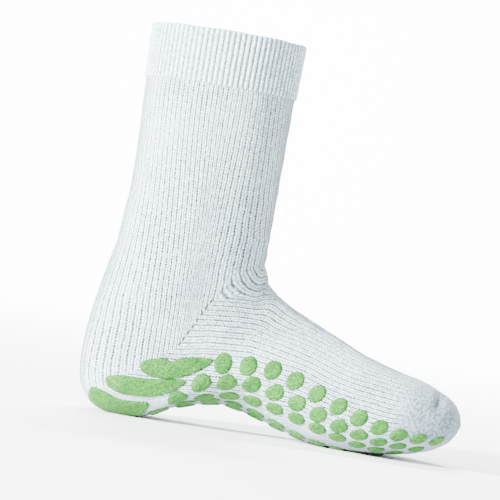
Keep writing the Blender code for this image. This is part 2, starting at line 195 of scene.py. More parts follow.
def evenPlaces(start, end, step):
    # Places along the sock so that no two rings lie further apart than one step
    dense = np.linspace(start, end, 1200)
    rings = fullRings(dense, 24)
    moves = np.linalg.norm(np.diff(rings, axis=0), axis=2).max(axis=1)
    travel = np.concatenate([[0], np.cumsum(moves)])
    count = int(travel[-1] / step) + 1
    return np.interp(np.linspace(0, travel[-1], count + 1), travel, dense)


def outward(grid):
    along = np.gradient(grid, axis=0)
    around = np.roll(grid, -1, axis=1) - np.roll(grid, 1, axis=1)
    normal = np.cross(along, around)
    return normal / np.maximum(np.linalg.norm(normal, axis=2, keepdims=True), 1e-12)


def softStep(low, high, value):
    share = np.clip((value - low) / (high - low), 0, 1)
    return share * share * (3 - 2 * share)


def placeAtHeight(height):
    dense = np.linspace(0, 3, 600)
    return float(np.interp(-height, -smoothRows(dense)[:, 1], dense))


# Soft hollows and swells: x, z, reach along and up, depth outward (mm)
folds = (
    (112, 112, 16, 3.2, -1.3),
    (118, 101, 13, 2.6, -1.0),
    (108, 128, 18, 4.0, 0.6),
    (8, 112, 12, 9.0, -0.9),
    (14, 134, 12, 6.0, 0.5),
    (60, 96, 14, 11.0, 1.6),
    (205, 52, 16, 7.0, 0.5),
)


def foldDepth(grid):
    x, z = grid[..., 0] / mm, grid[..., 2] / mm
    total = np.zeros(x.shape)
    for atX, atZ, reachX, reachZ, depth in folds:
        slope = 0.35 if depth < 0 and atX > 100 else 0.0  # the bend's folds run down to the heel
        rise = (z - atZ) - slope * (x - atX)
        total += depth * np.exp(-((x - atX) / reachX) ** 2 - (rise / reachZ) ** 2)
    return total * mm


def inMm(grid):
    return (grid[..., axis] / mm for axis in range(3))


def plushNoise(grid):
    # A small fixed unevenness, the same on each run
    x, y, z = inMm(grid)
    slow = np.sin(x * 0.31 + 1.3) * np.sin(y * 0.27 + 0.7) * np.sin(z * 0.29 + 2.1)
    fast = np.sin(x * 1.13 + 0.3 * z) * np.sin(y * 1.37 + 1.9) * np.sin(z * 1.21 + 0.4 * y)
    return sock["plush"] * (0.9 * slow + 0.8 * fast)


# The closed toe's seam in mm: its line over the toes, the ridge and hollow along it and its near end
toeLine = {
    "at": 238.5,
    "bow": 0.0022,
    "foremostY": -12,
    "shownFrom": (31, 40),
    "ridge": (0.6, 1.0),           # height and width
    "hollow": (-0.8, 3.4),
    "dimple": (-1.7, 2.6, 4.2),    # depth, and width along and up
    "dimpleAt": (236, 42),
    "dimpleSide": -8,
}


def bump(height, width, away):
    return height * np.exp(-(away / width) ** 2)


def toeSeam(grid):
    # How far each point lies in front of the seam line, and how strongly it shows
    x, y, z = inMm(grid)
    line = toeLine["at"] - toeLine["bow"] * (y - toeLine["foremostY"]) ** 2
    return x - line, softStep(*toeLine["shownFrom"], z)


def toeSeamDepth(grid):
    x, y, z = inMm(grid)
    past, shown = toeSeam(grid)
    along = bump(*toeLine["ridge"], past) + bump(*toeLine["hollow"], past)
    depth, reachX, reachZ = toeLine["dimple"]
    atX, atZ = toeLine["dimpleAt"]
    dimple = depth * np.exp(-((x - atX) / reachX) ** 2 - ((z - atZ) / reachZ) ** 2)
    return (along * shown + dimple * (y < toeLine["dimpleSide"])) * mm


tipPoint = np.multiply(sock["tip"], (sock["footLength"], sock["ballWidth"], sock["bendHeight"]))

bodyPlaces = evenPlaces(placeAtHeight(sock["bodyTop"]), lastPlace, sock["ringStep"])
plainGrid = fullRings(bodyPlaces, sock["pointsAround"])
lowestCad, highestCad = (np.array(corner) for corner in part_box("sock_body"))
lowestOwn, highestOwn = plainGrid.min(axis=(0, 1)), plainGrid.max(axis=(0, 1))
aside = (lowestCad + highestCad - lowestOwn - highestOwn)[1] / 2
shift = np.array([lowestCad[0] - lowestOwn[0], aside, 0])
bodyNormals = outward(plainGrid)
relief = foldDepth(plainGrid) + plushNoise(plainGrid) + toeSeamDepth(plainGrid)
calm = softStep(1.2, 5.0, plainGrid[..., 2] / mm)  # the sole stays where the floor holds it
bodyGrid = plainGrid + bodyNormals * (relief * calm)[..., None]
print("sock surface:", bodyGrid.shape[0], "rings, shift", np.round(shift / mm, 2))


# Making plain meshes from grids

def gridFaces(rows, columns, first=0, closed=True, flip=False):
    i, j = np.meshgrid(np.arange(rows - 1), np.arange(columns if closed else columns - 1), indexing="ij")
    k = (j + 1) % columns
    here, above = i * columns, (i + 1) * columns
    faces = np.stack([here + j, above + j, above + k, here + k], axis=-1).reshape(-1, 4) + first
    return (faces[:, ::-1] if flip else faces).tolist()


def meshPiece(name, points, faces, fields=None, material=None):
    mesh = bpy.data.meshes.new(name)
    mesh.from_pydata((np.asarray(points) + shift).tolist(), [], faces)
    for label, values in (fields or {}).items():
        layer = mesh.attributes.new(label, "FLOAT", "POINT")
        layer.data.foreach_set("value", np.asarray(values, dtype=np.float32))
    mesh.shade_smooth()
    if material:
        mesh.materials.append(material)
    mesh.update()
    piece = bpy.data.objects.new(name, mesh)
    scene.collection.objects.link(piece)
    return piece


# Where the knit's wales and courses run

knit = {
    "wales": 40,               # hole lines from the middle of the back to the middle of the front
    "course": 2.0 * mm,
    "legAxis": 63 * mm,
    "gore": ((8, 8), (63, 50), (80, 83)),   # x, z of the heel's turning line
    # two rows of the foot, x and height: from the foot of the gore, and from its top
    "lowRow": ((0, 65, 82, 110, 151, 200), (46, 50, 53.5, 55.5, 48, 36)),
    "highRow": ((0, 78, 100, 123, 151, 200), (84, 85, 87, 86.5, 76, 54)),
    # wale numbers at the middle of the sole, on those two rows and on the instep
    "footWales": (-6, 18.3, 27.9, 35.5),
    "ringAt": 150,             # x of the ring that the foot's rows are slid back from
    "bend": (112, 122),        # x and height of the front of the ankle
    "shinMerge": (125, 235),   # heights between which the front lines run together
    "mergeFrom": 22,
    "stitchPitch": 5.0 * mm,
    "plain": (203, 225),       # x between which the rows give way to the toe's plain terry
    "crowded": (85, 215),      # heights over which the leg's lines spread out evenly again
    "legAlone": (118, 140),    # heights above which the foot's lines don't reach
    "soleTop": (12, 26),       # heights below which the sole's terry shows
    "joined": (24, 28),        # wale numbers from which leg and foot share their lines
    "frontRows": (25, 33),     # and from which their rows follow the front
    "legEnds": (104, 122),     # x over which the upright lines end
    # x and shares of a ring over which the lines follow the foot's rings
    "instepFrom": (108, 124),
    "ringsFrom": (132, 162),
    "instepShare": (0.70, 0.86),
    "soleShare": (0.10, 0.26),
}


def squeezed(share, middle, amount):
    # Wales crowd together beside the gore
    return share + amount * 0.055 * np.tanh((share - middle) / 0.05) * np.sin(math.pi * share)


def smoothLower(a, b, reach):
    near = np.maximum(reach - np.abs(a - b), 0) / reach
    return np.minimum(a, b) - near * near * reach / 4


def beside(points, start, end):
    # Signed distance from a line in the side view, more than nought on the leg's side
    way = np.subtract(end, start) / np.linalg.norm(np.subtract(end, start))
    return way[0] * (points[..., 2] / mm - start[1]) - way[1] * (points[..., 0] / mm - start[0])


def footWales(grid, ringShare):
    # The foot's rows as wale numbers. In front of the heel they run level from the gore and then
    # down with the instep, as if slid back from one ring of the foot.
    x, z = grid[..., 0] / mm, grid[..., 2] / mm
    half = grid.shape[1] // 2
    crest = grid[:, half] / mm
    bendX, bendZ = knit["bend"]
    forward = (crest[:, 0] > bendX) & (crest[:, 2] < bendZ)
    crestRise = np.interp(x, crest[forward, 0], crest[forward, 2]) + np.maximum(bendX - x, 0) * 0.15
    lowRow, highRow = np.interp(x, *knit["lowRow"]), np.interp(x, *knit["highRow"])
    ringAt = knit["ringAt"]
    lowAt, highAt = np.interp(ringAt, *knit["lowRow"]), np.interp(ringAt, *knit["highRow"])
    crestAt = float(np.interp(ringAt, crest[forward, 0], crest[forward, 2]))
    over = highAt + (z - highRow) / np.maximum(crestRise - highRow, 1) * (crestAt - highAt)
    level = lowAt + (z - lowRow) / (highRow - lowRow) * (highAt - lowAt)
    level = np.where(z < lowRow, z * lowAt / lowRow, np.where(z < highRow, level, over))
    first, low, high, last = knit["footWales"]
    upright = high + (last - high) * np.clip((z - highRow) / (crestRise - highRow), 0, 1)
    wales = np.empty(x.shape)
    for columns in (np.arange(half + 1), np.append(np.arange(half, grid.shape[1]), 0)):
        along, up, share = x[:, columns], z[:, columns], ringShare[:, columns]
        near = np.abs(along - ringAt) < 2.0
        heights, shares = up[near], share[near]
        order = np.argsort(heights)
        steps = np.linspace(heights.min(), heights.max(), 60)
        smooth = np.pad(np.interp(steps, heights[order], shares[order]), 2, mode="edge")
        smooth = np.maximum.accumulate(np.convolve(smooth, np.ones(5) / 5, mode="valid"))
        shareLow, shareHigh = np.interp((lowAt, highAt), steps, smooth)
        marks = (0, shareLow, shareHigh, 1), (first, low, high, last)
        mapped = np.interp(np.interp(level[:, columns], steps, smooth), *marks)
        ringed = np.interp(share, *marks)
        onLeg = (1 - softStep(*knit["legEnds"], along)) * (up > highRow[:, columns])
        mapped = mapped + (upright[:, columns] - mapped) * onLeg
        # over the instep, under the sole and towards the toe the rows follow the rings
        top = softStep(*knit["instepShare"], share) * softStep(*knit["instepFrom"], along)
        under = 1 - softStep(*knit["soleShare"], share)
        ringShown = np.maximum(softStep(*knit["ringsFrom"], along), np.maximum(top, under))
        wales[:, columns] = mapped + (ringed - mapped) * ringShown
    return wales


def knitFields(grid):
    x, y, z = inMm(grid)
    half = grid.shape[1] // 2
    share = np.minimum(np.arange(grid.shape[1]), grid.shape[1] - np.arange(grid.shape[1])) / half
    share = share[None, :] + 0 * x
    turn = np.arctan2(np.abs(y), -(x - knit["legAxis"] / mm)) / math.pi
    low = 1 - softStep(*knit["crowded"], z)
    legWale = knit["wales"] * squeezed(turn, 0.56, low)
    # Down the shin the front lines run together, so that as many reach the instep as it can hold
    mergeLow, mergeHigh = knit["shinMerge"]
    instep = knit["footWales"][-1]
    lost = (knit["wales"] - instep) * (1 - np.clip((z - mergeLow) / (mergeHigh - mergeLow), 0, 1))
    merged = np.clip((legWale - knit["mergeFrom"]) / (knit["wales"] - knit["mergeFrom"]), 0, 1)
    legWale = legWale - lost * merged ** 1.2
    footWale = footWales(grid, share)
    # leg and foot meet softly, with a wider bend at the front of the ankle
    lower = np.minimum(legWale, footWale)
    reach = 0.5 + 3.5 * softStep(27, 30, lower) * (1 - softStep(33, instep, lower))
    wale = smoothLower(legWale, footWale, reach)
    wale = wale + (legWale - wale) * softStep(*knit["legAlone"], z)
    joined = softStep(*knit["joined"], np.maximum(legWale, footWale))
    crest = grid[:, half]
    crestRun = np.concatenate([[0], np.cumsum(np.linalg.norm(np.diff(crest, axis=0), axis=1))])
    front = (crestRun + sock["legHeight"] - crest[0, 2])[:, None] / knit["course"] + 0 * x
    course = knit["course"] / mm
    legCourse = (sock["legHeight"] / mm - z) / course
    footCourse = (sock["legHeight"] / mm - knit["gore"][2][1] + x - knit["gore"][2][0]) / course
    toFront = softStep(*knit["frontRows"], wale)
    heel, corner, top = knit["gore"]
    side = np.minimum(beside(grid, corner, top), beside(grid, heel, corner))
    down = np.subtract(corner, top) / np.linalg.norm(np.subtract(corner, top))
    along = down[0] * (x - top[0]) + down[1] * (z - top[1])
    plain = softStep(*knit["plain"], x)
    sole = 0.4 * (1 - softStep(*knit["soleTop"], z))
    past, shown = toeSeam(grid)
    nearEnd = 0.5 + 0.5 * (y < 0) * bump(1, 6, z - toeLine["dimpleAt"][1])
    fields = {
        "legWale": legWale + (wale - legWale) * joined,
        "footWale": footWale + (wale - footWale) * joined,
        "legCourse": legCourse + (front - legCourse) * toFront,
        "footCourse": footCourse + (front - footCourse) * toFront,
        "goreSide": side,
        "goreAlong": along,
        "plain": plain,
        "sole": sole,
        # painted shade in the hollow beside the toe seam, stronger towards its near end
        "seam": bump(1, 1.1, past + 1.6) * shown * nearEnd,
    }
    return {label: values.ravel() for label, values in fields.items()}


# Small helpers for node trees. All of them draw in the tree that was named last.

drawn = {}


def drawIn(tree):
    drawn["tree"] = tree
    return tree


def addNode(kind, **settings):
    made = drawn["tree"].nodes.new(kind)
    for label, value in settings.items():
        setattr(made, label, value)
    return made


def feed(socket, value):
    if isinstance(value, bpy.types.NodeSocket):
        drawn["tree"].links.new(value, socket)
    else:
        socket.default_value = value


def fedNode(kind, inputs, **settings):
    made = addNode(kind, **settings)
    for label, value in inputs.items():
        feed(made.inputs[label], value)
    return made


def calc(operation, *values):
    made = addNode("ShaderNodeMath", operation=operation)
    for socket, value in zip(made.inputs, values):
        feed(socket, value)
    return made.outputs[0]


def times(first, second):
    return calc("MULTIPLY", first, second)


def plus(first, second):
    return calc("ADD", first, second)


def minus(first, second):
    return calc("SUBTRACT", first, second)


def softRange(value, low, high, start=0.0, end=1.0):
    made = addNode("ShaderNodeMapRange", interpolation_type="SMOOTHSTEP")
    for socket, item in zip(made.inputs, (value, low, high, start, end)):
        feed(socket, item)
    return made.outputs[0]


def blend(share, first, second):
    return fedNode("ShaderNodeMix", {0: share, 6: first, 7: second}, data_type="RGBA").outputs[2]


def noise(place, scale, detail=2.0, roughness=0.5):
    inputs = {"Vector": place, "Scale": scale, "Detail": detail, "Roughness": roughness}
    return fedNode("ShaderNodeTexNoise", inputs).outputs[0]


def field(label):
    return addNode("ShaderNodeAttribute", attribute_name=label).outputs["Fac"]


def objectPlace():
    return addNode("ShaderNodeTexCoord").outputs["Object"]


def shaderGroup(name, inputs, outputs):
    group = drawIn(bpy.data.node_groups.new(name, "ShaderNodeTree"))
    for label, value in inputs.items():
        kind = "NodeSocketVector" if label == "Place" else "NodeSocketFloat"
        group.interface.new_socket(label, in_out="INPUT", socket_type=kind).default_value = value
    for label in outputs:
        group.interface.new_socket(label, in_out="OUTPUT", socket_type="NodeSocketFloat")
    return group, group.nodes.new("NodeGroupInput").outputs, group.nodes.new("NodeGroupOutput").inputs


def placeGroup(group, **values):
    return fedNode("ShaderNodeGroup", values, node_tree=group).outputs


def colour(red, green, blue):
    # Ordinary screen numbers 0 to 255 as Blender's own
    shares = [value / 255 for value in (red, green, blue)]
    return [s / 12.92 if s <= 0.04045 else ((s + 0.055) / 1.055) ** 2.4 for s in shares] + [1.0]


def fold(value):
    # Nought on each whole number and a half between two
    return calc("PINGPONG", value, 0.5)


loopLook = {
    "waleWander": 0.22,
    "courseWander": 0.35,
    "holeAcross": 3.1,         # larger numbers make the holes narrower and lower
    "holeUp": 1.45,
    "strongHole": 0.9,
    "faintHole": 0.7,
}


def makeLoops():
    # Knitted loops: a small hole between two loops, a fainter row half way, and a ridge on each wale
    group, given, made = shaderGroup(
        "knittedLoops", {"Wale": 0.0, "Course": 0.0, "Place": (0, 0, 0), "Faint Row": 0.5},
        ("Holes", "Ridge", "Groove"))
    wobble = minus(noise(given["Place"], 260, 1.0), 0.5)
    wale = plus(given["Wale"], times(wobble, loopLook["waleWander"]))
    course = plus(given["Course"], times(wobble, loopLook["courseWander"]))

    def holesAt(offset, size):
        across = times(fold(plus(wale, offset)), loopLook["holeAcross"])
        up = times(fold(plus(course, offset)), loopLook["holeUp"])
        squares = calc("POWER", across, 2.0), calc("POWER", up, 2.0)
        return softRange(calc("SQRT", plus(*squares)), size, 0.35)

    strong = holesAt(0.0, loopLook["strongHole"])
    faint = times(holesAt(0.5, loopLook["faintHole"]), given["Faint Row"])
    patchy = softRange(noise(given["Place"], 420, 0.0), 0.32, 0.6, 0.5, 1.0)
    worn = softRange(noise(given["Place"], 24, 1.0), 0.34, 0.6, 0.6, 1.0)
    holes = times(calc("MAXIMUM", strong, faint), times(patchy, worn))
    feed(made["Holes"], holes)
    across, halves = fold(wale), fold(times(wale, 2.0))
    bold, slight = softRange(across, 0.15, 0.03), softRange(halves, 0.26, 0.04, 0.0, 0.65)
    # grooves between the wales, later darkened as painted shade
    grooveShade = calc("MAXIMUM", bold, slight)
    feed(made["Groove"], times(grooveShade, softRange(wobble, -0.25, 0.2, 0.6, 1.0)))
    wide = calc("SINE", times(across, math.pi))
    fine = calc("SINE", times(halves, math.pi))
    lean = plus(course, times(halves, 0.8))
    loop = calc("SINE", times(lean, 2 * math.pi))
    ridge = plus(times(wide, 0.4), times(fine, 0.35))
    ridge = plus(ridge, times(loop, 0.16))
    feed(made["Ridge"], minus(ridge, times(holes, 0.8)))
    return group


def makeTerry():
    # Looped terry pile: pebbles about as large as one loop, and finer fibres on them
    group, given, made = shaderGroup(
        "terryPile", {"Place": (0, 0, 0), "Pebble": 620.0, "Fibre": 2100.0}, ("Height", "Shade"))
    cells = fedNode("ShaderNodeTexVoronoi", {"Vector": given["Place"], "Scale": given["Pebble"]},
                    feature="SMOOTH_F1")
    pebble = softRange(cells.outputs["Distance"], 0.75, 0.1)
    height = plus(times(pebble, 0.75), times(noise(given["Place"], given["Fibre"]), 0.5))
    feed(made["Height"], height)
    feed(made["Shade"], pebble)
    return group


def newMaterial(name, roughness):
    made = bpy.data.materials.new(name)
    made.use_nodes = True
    shader = drawIn(made.node_tree).nodes["Principled BSDF"]
    shader.inputs["Roughness"].default_value = roughness
    shader.inputs["Specular IOR Level"].default_value = 0.25
    return made, shader


def raised(shader, height, distance, strength=1.0):
    bumps = fedNode("ShaderNodeBump", {"Height": height, "Distance": distance, "Strength": strength})
    feed(shader.inputs["Normal"], bumps.outputs[0])


yarn = {
    "light": colour(224, 248, 255),
    "shade": colour(180, 206, 218),
    # painted shade in the terry's pits and between its pebbles
    "pitShade": colour(66, 98, 114),
    # painted shade seen in the knit's holes and gaps
    "holeShade": colour(3, 20, 26),
    # painted shade along the grooves between the wales and in the toe seam's hollow
    "grooveShade": colour(24, 58, 72),
    # the toe's plain terry: partly its own duller tone, partly painted shade
    "toe": colour(112, 130, 138),
    "toePitShade": colour(62, 84, 94),
    # painted shade where the pile turns away from the view
    "edge": colour(78, 108, 124),
    # painted shade: lavender and darker low on the sole, towards the floor
    "sole": colour(214, 214, 234),
    "floorShade": colour(176, 168, 196),
}

loops = makeLoops()
terry = makeTerry()


def yarnMaterial(name):
    made, shader = newMaterial(name, 0.92)
    shader.inputs["Sheen Weight"].default_value = 0.25
    shader.inputs["Sheen Roughness"].default_value = 0.6
    return made, shader, objectPlace()


def knitAndPile(place, wale, course, faint, pebble):
    knitted = placeGroup(loops, Wale=wale, Course=course, Place=place, **{"Faint Row": faint})
    return knitted, placeGroup(terry, Place=place, Pebble=pebble)


def finePitShade(place, base):
    # fine random specks of painted shade in the pile's pits
    pits = softRange(noise(place, 1100, 0.0), 0.55, 0.25, 0.0, 0.4)
    return blend(pits, base, yarn["pitShade"])


def paintedEdgeShade(base):
    # Painted shade: the pile is darkened where it turns away from the view
    facing = addNode("ShaderNodeLayerWeight").outputs["Facing"]
    return blend(softRange(facing, 0.35, 0.95, 0.0, 0.8), base, yarn["edge"])


def legOrFoot(leg, foot):
    onLeg = calc("GREATER_THAN", field("goreSide"), 0.0)
    footValue = field(foot)
    return plus(footValue, times(minus(field(leg), footValue), onLeg))


def makeKnitMaterial():
    made, shader, place = yarnMaterial("white_terry_knit")
    wale, course = legOrFoot("legWale", "footWale"), legOrFoot("legCourse", "footCourse")
    knitted, pile = knitAndPile(place, wale, course, 0.5, 700.0)
    toe = field("plain")
    worked = minus(1.0, calc("MAXIMUM", toe, field("sole")))
    holes = times(knitted["Holes"], worked)
    # slanted stitches along the turning line
    goreSide, along = field("goreSide"), field("goreAlong")
    away = calc("ABSOLUTE", goreSide)
    slant = plus(along, times(goreSide, 0.9))
    dash = fold(calc("DIVIDE", slant, knit["stitchPitch"] / mm))
    dash = softRange(dash, 0.36, 0.22)
    for value, outside, inside in ((away, 1.0, 0.4), (along, -3.0, -1.0), (along, 37.0, 34.5)):
        dash = times(dash, softRange(value, outside, inside))
    # painted shade: the holes and the gaps of the turning line's stitches are darkened almost to black
    dark = calc("MAXIMUM", times(holes, 0.95), times(dash, 0.95))
    cloudy = softRange(noise(place, 28, 3.0), 0.35, 0.7)
    base = blend(times(cloudy, 0.35), yarn["light"], yarn["shade"])
    # the toe is darker: partly its plain terry's own tone, partly painted shade
    base = blend(times(toe, 0.9), base, yarn["toe"])
    # painted shade in the gaps between the terry's pebbles, stronger on the toe
    pebbleGapShade = softRange(pile["Shade"], 0.8, 0.15)
    pitShade = blend(toe, yarn["pitShade"], yarn["toePitShade"])
    base = blend(times(pebbleGapShade, plus(times(toe, 0.42), 0.36)), base, pitShade)
    # painted shade in the hollow beside the toe seam
    base = blend(times(field("seam"), 0.8), base, yarn["grooveShade"])
    base = finePitShade(place, base)
    height = fedNode("ShaderNodeSeparateXYZ", {0: place}).outputs[2]
    # painted shade: lavender and darker low on the sole, towards the floor
    base = blend(softRange(height, 0.020, 0.004, 0.0, 0.8), base, yarn["sole"])
    base = blend(softRange(height, 0.010, 0.0, 0.0, 0.5), base, yarn["floorShade"])
    # painted shade along the grooves between the wales
    grooveShade = times(times(knitted["Groove"], worked), 0.95)
    base = paintedEdgeShade(blend(grooveShade, base, yarn["grooveShade"]))
    base = blend(dark, base, yarn["holeShade"])
    feed(shader.inputs["Base Color"], base)
    ridge = times(knitted["Ridge"], plus(times(worked, 0.85), 0.15))
    relief = plus(ridge, times(pile["Height"], 0.75))
    relief = minus(relief, times(dash, 0.9))
    raised(shader, relief, 0.55 * mm, 1.0)
    return made


def makeRibMaterial():
    made, shader, place = yarnMaterial("white_rib_knit")
    knitted, pile = knitAndPile(place, field("wale"), field("course"), 0.3, 760.0)
    cloudy = softRange(noise(place, 30, 3.0), 0.35, 0.7, 0.0, 0.35)
    base = blend(cloudy, yarn["light"], yarn["shade"])
    # painted shade in the gaps between the pebbles
    base = blend(softRange(pile["Shade"], 0.75, 0.1, 0.0, 0.5), base, yarn["pitShade"])
    base = paintedEdgeShade(finePitShade(place, base))
    # painted shade in the rib valleys, and faintly in the holes
    grooveShade = softRange(field("grooveShade"), 0.4, 1.0, 0.0, 0.7)
    for share in (grooveShade, times(knitted["Holes"], 0.25)):
        base = blend(share, base, yarn["holeShade"])
    feed(shader.inputs["Base Color"], base)
    relief = plus(times(knitted["Ridge"], 0.5), pile["Height"])
    raised(shader, relief, 0.35 * mm, 0.8)
    return made


ink = {
    "plain": colour(46, 116, 26),
    "light": colour(72, 134, 42),
    "streak": colour(18, 84, 22),
    # used for painted shade between the grains, and for the darker rim
    "dark": colour(14, 70, 22),
    "streakTurn": math.radians(-38),
    "streakStretch": 0.35,
}


def makePrintMaterial():
    # Soft printed grip: fine grains that run with the knit under it, darker towards its rim
    made, shader = newMaterial("green_grip_print", 0.62)
    place = objectPlace()
    lay = fedNode("ShaderNodeMapping", {
        0: place, "Rotation": (0, ink["streakTurn"], 0), "Scale": (ink["streakStretch"], 1.0, 1.0)})
    streak = noise(lay.outputs[0], 950, 3.0, 0.6)
    grain = placeGroup(terry, Place=place, Pebble=900.0, Fibre=2600.0)
    patch = softRange(noise(place, 60, 2.0), 0.3, 0.7)
    base = blend(patch, ink["plain"], ink["light"])
    base = blend(softRange(streak, 0.62, 0.38, 0.0, 0.75), base, ink["streak"])
    # painted shade in the gaps between the grains
    base = blend(softRange(grain["Shade"], 0.7, 0.1, 0.0, 0.6), base, ink["dark"])
    base = blend(softRange(field("reach"), 0.84, 1.0, 0.0, 0.7), base, ink["dark"])
    feed(shader.inputs["Base Color"], base)
    relief = plus(grain["Height"], times(streak, 1.2))
    raised(shader, relief, 0.42 * mm, 0.9)
    return made


knitMaterial = makeKnitMaterial()
ribMaterial = makeRibMaterial()
printMaterial = makePrintMaterial()
print("materials ready")


# The knitted body

def joinRings(first, second, count):
    pairs = [(j, (j + 1) % count) for j in range(count)]
    return [[first + j, second + j, second + k, first + k] for j, k in pairs]


innerFields = {"plain": 0.0, "sole": 1.0, "seam": 0.0}   # inside, the terry shows no rows


def makeSock():
    around = bodyGrid.shape[1]
    inside = np.unique(np.append(np.arange(0, len(bodyGrid), sock["innerEvery"]), len(bodyGrid) - 1))
    inner = bodyGrid[inside] - bodyNormals[inside] * sock["wall"]
    outerCount = len(bodyGrid) * around
    innerFirst = outerCount + 1
    innerTip = innerFirst + len(inside) * around
    points = np.concatenate([bodyGrid.reshape(-1, 3), [tipPoint], inner.reshape(-1, 3),
                             [tipPoint - [sock["wall"], 0, 0]]])
    faces = gridFaces(len(bodyGrid), around)
    faces += gridFaces(len(inside), around, first=innerFirst, flip=True)
    faces += joinRings(innerFirst, 0, around)
    lastOuter, lastInner = outerCount - around, innerTip - around
    for j in range(around):
        k = (j + 1) % around
        faces.append([lastOuter + j, outerCount, lastOuter + k])
        faces.append([lastInner + k, innerTip, lastInner + j])
    fields = knitFields(bodyGrid)
    for label, values in fields.items():
        rings = values.reshape(len(bodyGrid), around)
        inward = rings[inside]
        if label in innerFields:
            inward = np.full(inward.shape, innerFields[label])
        fields[label] = np.concatenate([values, rings[-1, :1], inward.ravel(), inward[-1, :1]])
    return meshPiece("knitted_sock", points, faces, fields, knitMaterial)


sockPiece = makeSock()
print("knitted body:", len(sockPiece.data.polygons), "faces")


# The ribbed cuff, one closed band

cuff = {
    "height": 36 * mm,
    "step": 0.8 * mm,
    "ribs": 84,
    "pointsPerRib": 6,
    "ribDepth": 0.42 * mm,
    "rowStep": 1.6 * mm,
    "innerRows": 9,
    "sway": 0.25 * mm,         # how uneven its rows hang
    "swayTurn": 0.11,
    "swayFrom": 20 * mm,
}


def makeCuff():
    top, foot = sock["legHeight"], sock["legHeight"] - cuff["height"]
    wall, step = sock["wall"], cuff["step"]
    outside = np.linspace(top - 1.4 * mm, foot + 0.9 * mm, int(cuff["height"] / cuff["rowStep"]))
    # height, how far out from the skin, and how strongly the ribs show
    rows = [(height, step, 1.0) for height in outside]
    rows += [(foot + 0.3 * mm, step * 0.7, 0.8), (foot, step * 0.1, 0.3), (foot, -0.5 * mm, 0)]
    inside = np.linspace(foot + 1.2 * mm, top - 1.4 * mm, cuff["innerRows"])
    rows += [(height, -wall, 0) for height in inside]
    rows += [(top - 0.6 * mm, -wall + 0.2 * mm, 0), (top - 0.1 * mm, -wall * 0.62, 0.2)]
    rows += [(top, -wall * 0.3, 0.5), (top - 0.2 * mm, step * 0.1, 0.8)]
    rows += [(top - 0.7 * mm, step * 0.7, 1.0)]
    columns = cuff["ribs"] * cuff["pointsPerRib"]
    heights, reaches, ribbed = np.array(rows).T
    rings = fullRings(np.array([placeAtHeight(height) for height in heights]), columns)
    middle = rings.mean(axis=1, keepdims=True)
    out = rings - middle
    out[..., 2] = 0
    out /= np.linalg.norm(out, axis=2, keepdims=True)
    index = np.arange(columns)
    rib = np.cos(2 * math.pi * index / cuff["pointsPerRib"])
    proud = reaches[:, None] + cuff["ribDepth"] * rib * ribbed[:, None]
    rings = rings + out * proud[..., None]
    sway = cuff["sway"] * np.sin(index * cuff["swayTurn"] + 0.5)
    rings[..., 2] = heights[:, None] + sway * (heights > foot + cuff["swayFrom"])[:, None]
    faces = gridFaces(len(rows), columns) + joinRings((len(rows) - 1) * columns, 0, columns)
    ones = np.ones((len(rows), 1))
    shown = (reaches > -0.2 * mm)[:, None]
    fields = {
        "wale": (ones * (index / cuff["pointsPerRib"] + 0.5)).ravel(),
        "course": ((top - heights)[:, None] / knit["course"] * np.ones((1, columns))).ravel(),
        "grooveShade": (shown * (0.5 - 0.5 * rib)).ravel(),
    }
    return meshPiece("ribbed_cuff", rings.reshape(-1, 3), faces, fields, ribMaterial)


cuffPiece = makeCuff()
print("cuff:", len(cuffPiece.data.polygons), "faces")


# Printed grips

grips = {
    "depth": 1.15 * mm,
    "sink": 0.15 * mm,         # the rim goes into the knit
    "cast": 9 * mm,            # how far off the knit a dot is pressed from
    "corners": 28,
    "rings": 7,
    "heelDotSize": 13.3 * mm,
    "toeDotSize": 10.5 * mm,
    "dotCount": 11,
    "reach": 0.567,            # how far along the foot one row runs
    "crowding": 0.15,
    "outlineWander": 0.16,
    "coreHeight": 30 * mm,
}

# start along the foot, then the height up the side of every second dot, as shares
dotRows = {
    "top": (0.369, 0.456, 0.463, 0.358, 0.250, 0.176, 0.173),
    "side": (0.322, 0.299, 0.344, 0.274, 0.170, 0.110, 0.100),
    "low": (0.270, 0.170, 0.243, 0.208, 0.130, 0.066, 0.050),
    "inner": (0.224,),
    "middle": (0.226,),
}
# each row's way of its long axis, and its length as a share
dotLeans = {
    "top": ((0.22, 0.0, 1.0), 1.13),
    "side": ((0.7, 0.0, 1.0), 1.12),
    "low": ((0.9, 0.0, 0.9), 1.12),
    "inner": ((1.0, 0.0, 0.5), 1.10),
    "middle": ((1.0, 0.3, 0.0), 1.08),
}
leanTowardsToe = 1.5

skinFaces = gridFaces(len(bodyGrid), bodyGrid.shape[1])
skinTree = BVHTree.FromPolygons(bodyGrid.reshape(-1, 3).tolist(), skinFaces)


def smoothThrough(values, share):
    place = share * (len(values) - 1)
    first = min(int(place), len(values) - 2)
    t = place - first
    a, b = values[max(first - 1, 0)], values[first]
    c, d = values[first + 1], values[min(first + 2, len(values) - 1)]
    square, cube = 2 * a - 5 * b + 4 * c - d, 3 * b - a - 3 * c + d
    return 0.5 * (2 * b + (c - a) * t + square * t ** 2 + cube * t ** 3)


def fromCore(along, turn, side):
    # Turn 0 points straight down from the middle of the foot and a half turn straight up
    way = Vector((0, side * math.sin(turn), -math.cos(turn)))
    return skinTree.ray_cast(Vector((along, 0, grips["coreHeight"])), way)[:2]


def turnOf(point):
    return math.atan2(abs(point.y), grips["coreHeight"] - point.z)


def turnAtHeight(along, height, side):
    start = Vector((along, side * sock["ballWidth"], height))
    return turnOf(skinTree.ray_cast(start, Vector((0, -side, 0)))[0])


def turnUnder(along, aside, side):
    start = Vector((along, side * aside, -sock["ballWidth"]))
    return turnOf(skinTree.ray_cast(start, Vector((0, 0, 1)))[0])


